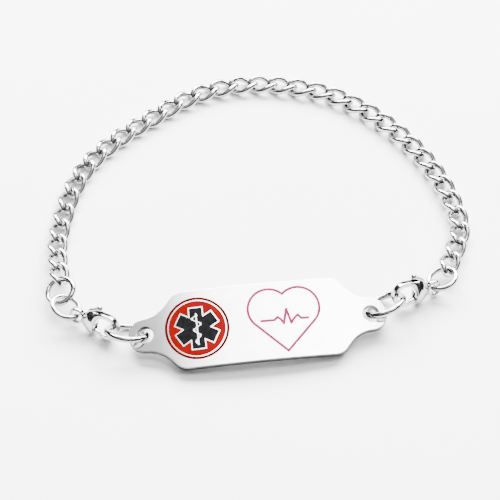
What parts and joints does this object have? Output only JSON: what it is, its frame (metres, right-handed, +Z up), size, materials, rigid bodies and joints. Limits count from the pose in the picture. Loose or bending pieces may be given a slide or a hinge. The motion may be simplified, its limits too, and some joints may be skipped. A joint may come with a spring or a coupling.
{
  "type": "medical alert bracelet",
  "caption": "Steel identification bracelet: a bowed plate with an enamel medical sign and an engraved heart, held by rings and lobster clasps on a closed flat curb chain.",
  "frame": {"origin": "middle of the wrist opening, on the surface the bracelet lies on", "axes": "+Z up from the surface, +X along the plate to the right, +Y from the plate to the far side of the loop"},
  "size_m": [0.0707, 0.0634, 0.0064],
  "materials": {
    "plate_steel": "polished",
    "ring_steel": "polished",
    "clasp_steel": "polished",
    "chain_steel": "polished",
    "dark_red_enamel": "glossy",
    "red_enamel": "glossy",
    "black_enamel": "glossy",
    "raspberry_paint": "satin"
  },
  "bodies": {
    "bracelet": {"id_plate": "plate_steel", "dark_red_enamel_rim": "dark_red_enamel", "red_enamel_field": "red_enamel", "black_enamel_star": "black_enamel", "heart_line_fill": "raspberry_paint", "pulse_line_fill": "raspberry_paint", "left_plate_ring": "ring_steel", "right_plate_ring": "ring_steel", "left_clasp_body": "clasp_steel", "left_clasp_pin": "clasp_steel", "right_clasp_body": "clasp_steel", "right_clasp_pin": "clasp_steel", "left_chain_ring": "ring_steel", "right_chain_ring": "ring_steel", "left_extra_ring": "ring_steel", "chain_link_01": "chain_steel", "chain_link_02": "chain_steel", "chain_link_03": "chain_steel", "chain_link_04": "chain_steel", "chain_link_05": "chain_steel", "chain_link_06": "chain_steel", "chain_link_07": "chain_steel", "chain_link_08": "chain_steel", "chain_link_09": "chain_steel", "chain_link_10": "chain_steel", "chain_link_11": "chain_steel", "chain_link_12": "chain_steel", "chain_link_13": "chain_steel", "chain_link_14": "chain_steel", "chain_link_15": "chain_steel", "chain_link_16": "chain_steel", "chain_link_17": "chain_steel", "chain_link_18": "chain_steel", "chain_link_19": "chain_steel", "chain_link_20": "chain_steel", "chain_link_21": "chain_steel", "chain_link_22": "chain_steel", "chain_link_23": "chain_steel", "chain_link_24": "chain_steel", "chain_link_25": "chain_steel", "chain_link_26": "chain_steel", "chain_link_27": "chain_steel", "chain_link_28": "chain_steel", "chain_link_29": "chain_steel", "chain_link_30": "chain_steel", "chain_link_31": "chain_steel", "chain_link_32": "chain_steel", "chain_link_33": "chain_steel", "chain_link_34": "chain_steel", "chain_link_35": "chain_steel", "chain_link_36": "chain_steel"},
    "left_lever": {"left_clasp_lever": "clasp_steel"},
    "right_lever": {"right_clasp_lever": "clasp_steel"}
  },
  "joints": [
    {"name": "left_lever_hinge", "type": "hinge", "parent": "bracelet", "child": "left_lever", "pos_m": [-0.02666, -0.02434, 0.00217], "axis": [-0.4355, -0.8187, 0.3742], "range_deg": [0, 20], "stiffness_Nm_per_rad": 0.002},
    {"name": "right_lever_hinge", "type": "hinge", "parent": "bracelet", "child": "right_lever", "pos_m": [0.02665, -0.01826, 0.00216], "axis": [-0.4483, 0.8153, -0.3664], "range_deg": [0, 20], "stiffness_Nm_per_rad": 0.002}
  ]
}
